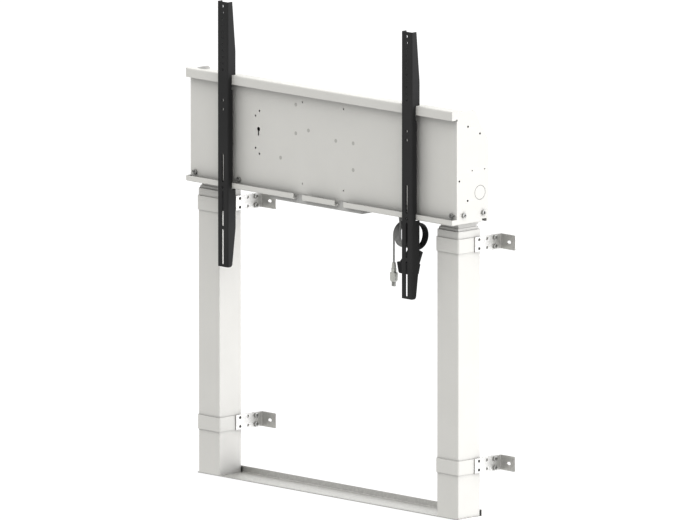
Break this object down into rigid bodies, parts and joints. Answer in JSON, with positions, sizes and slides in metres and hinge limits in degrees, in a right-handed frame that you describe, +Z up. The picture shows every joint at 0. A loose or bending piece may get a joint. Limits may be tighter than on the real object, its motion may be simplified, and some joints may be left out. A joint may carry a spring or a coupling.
{
  "type": "tv lift mechanism",
  "caption": "Motorised floor lift for a flat screen: telescopic columns strapped to the wall carry a beam with slotted uprights that slide along its rails.",
  "frame": {"origin": "on the floor, midway between the columns, in the plane of their centres", "axes": "+X along the beam to the viewer's right, +Y towards the wall, +Z up"},
  "size_m": [1.179, 0.2124, 1.361],
  "materials": {
    "white_steel": "fine textured white powder coat",
    "black_steel": "satin black powder coat",
    "zinc_steel": "zinc plated",
    "grey_steel": "galvanised sheet",
    "plain_steel": "bright, greased",
    "cast_aluminium": "die cast",
    "dark_steel": "black paint",
    "bronze": "machined",
    "shoe_plastic": "low friction plastic",
    "case_plastic": "fine grained moulding",
    "button_plastic": "satin",
    "grey_lead": "matt sheath",
    "plug_plastic": "moulded",
    "nose_metal": "nickel plated",
    "black_lead": "matt sheath"
  },
  "bodies": {
    "base": {"floor_channel": "grey_steel", "left_outer_tube": "white_steel", "right_outer_tube": "white_steel", "left_collar": "white_steel", "right_collar": "white_steel", "upper_guides": "shoe_plastic", "left_nut_post": "plain_steel", "right_nut_post": "plain_steel", "drive_nuts": "bronze", "left_upper_strap": "white_steel", "left_lower_strap": "white_steel", "right_upper_strap": "white_steel", "right_lower_strap": "white_steel", "left_upper_brackets": "grey_steel", "left_lower_brackets": "grey_steel", "right_upper_brackets": "grey_steel", "right_lower_brackets": "grey_steel", "bracket_bolts": "zinc_steel", "bracket_nuts": "zinc_steel", "column_screws": "zinc_steel"},
    "carriage": {"left_inner_tube": "white_steel", "right_inner_tube": "white_steel", "lower_glides": "shoe_plastic", "head_plates": "white_steel", "beam_tray": "white_steel", "front_panel": "white_steel", "left_end_plate": "white_steel", "right_end_plate": "white_steel", "rear_cover": "white_steel", "cable_tray": "grey_steel", "left_gearbox": "cast_aluminium", "right_gearbox": "cast_aluminium", "left_motor": "dark_steel", "right_motor": "dark_steel", "control_unit": "case_plastic", "knockout_discs": "white_steel", "beam_bolts": "zinc_steel", "beam_nuts": "zinc_steel", "gearbox_bolts": "zinc_steel", "supply_gland": "grey_lead", "supply_drop": "grey_lead", "supply_coil": "grey_lead", "supply_tail": "grey_lead", "supply_plug": "plug_plastic", "plug_nose": "nose_metal", "handset_grommet": "black_lead", "handset_drop": "black_lead", "handset_coil": "black_lead", "handset_tail": "black_lead", "cord_ties": "black_lead", "handset": "case_plastic"},
    "left_spindle": {"left_spindle": "plain_steel"},
    "right_spindle": {"right_spindle": "plain_steel"},
    "left_upright": {"left_upright": "black_steel", "left_hooks": "black_steel"},
    "right_upright": {"right_upright": "black_steel", "right_hooks": "black_steel"},
    "up_button": {"up_button": "button_plastic"},
    "down_button": {"down_button": "button_plastic"}
  },
  "joints": [
    {"name": "lift", "type": "slide", "parent": "base", "child": "carriage", "axis": [0, 0, 1], "range_m": [0, 0.65]},
    {"name": "left_spindle_turn", "type": "hinge", "parent": "carriage", "child": "left_spindle", "pos_m": [-0.484, 0, 0.85], "axis": [0, 0, 1], "range_deg": [0, 19501]},
    {"name": "right_spindle_turn", "type": "hinge", "parent": "carriage", "child": "right_spindle", "pos_m": [0.484, 0, 0.85], "axis": [0, 0, 1], "range_deg": [0, 19501]},
    {"name": "left_upright_slide", "type": "slide", "parent": "carriage", "child": "left_upright", "axis": [1, 0, 0], "range_m": [-0.12, 0.27]},
    {"name": "right_upright_slide", "type": "slide", "parent": "carriage", "child": "right_upright", "axis": [1, 0, 0], "range_m": [-0.27, 0.12]},
    {"name": "up_button_press", "type": "slide", "parent": "carriage", "child": "up_button", "axis": [0, 1, 0], "range_m": [0, 0.0012], "stiffness_N_per_m": 800, "springref_m": -0.001},
    {"name": "down_button_press", "type": "slide", "parent": "carriage", "child": "down_button", "axis": [0, 1, 0], "range_m": [0, 0.0012], "stiffness_N_per_m": 800, "springref_m": -0.001}
  ],
  "couplings": [
    {"joint": "left_spindle_turn", "follows": "lift", "rad_per_m": 523.6},
    {"joint": "right_spindle_turn", "follows": "lift", "rad_per_m": 523.6}
  ]
}
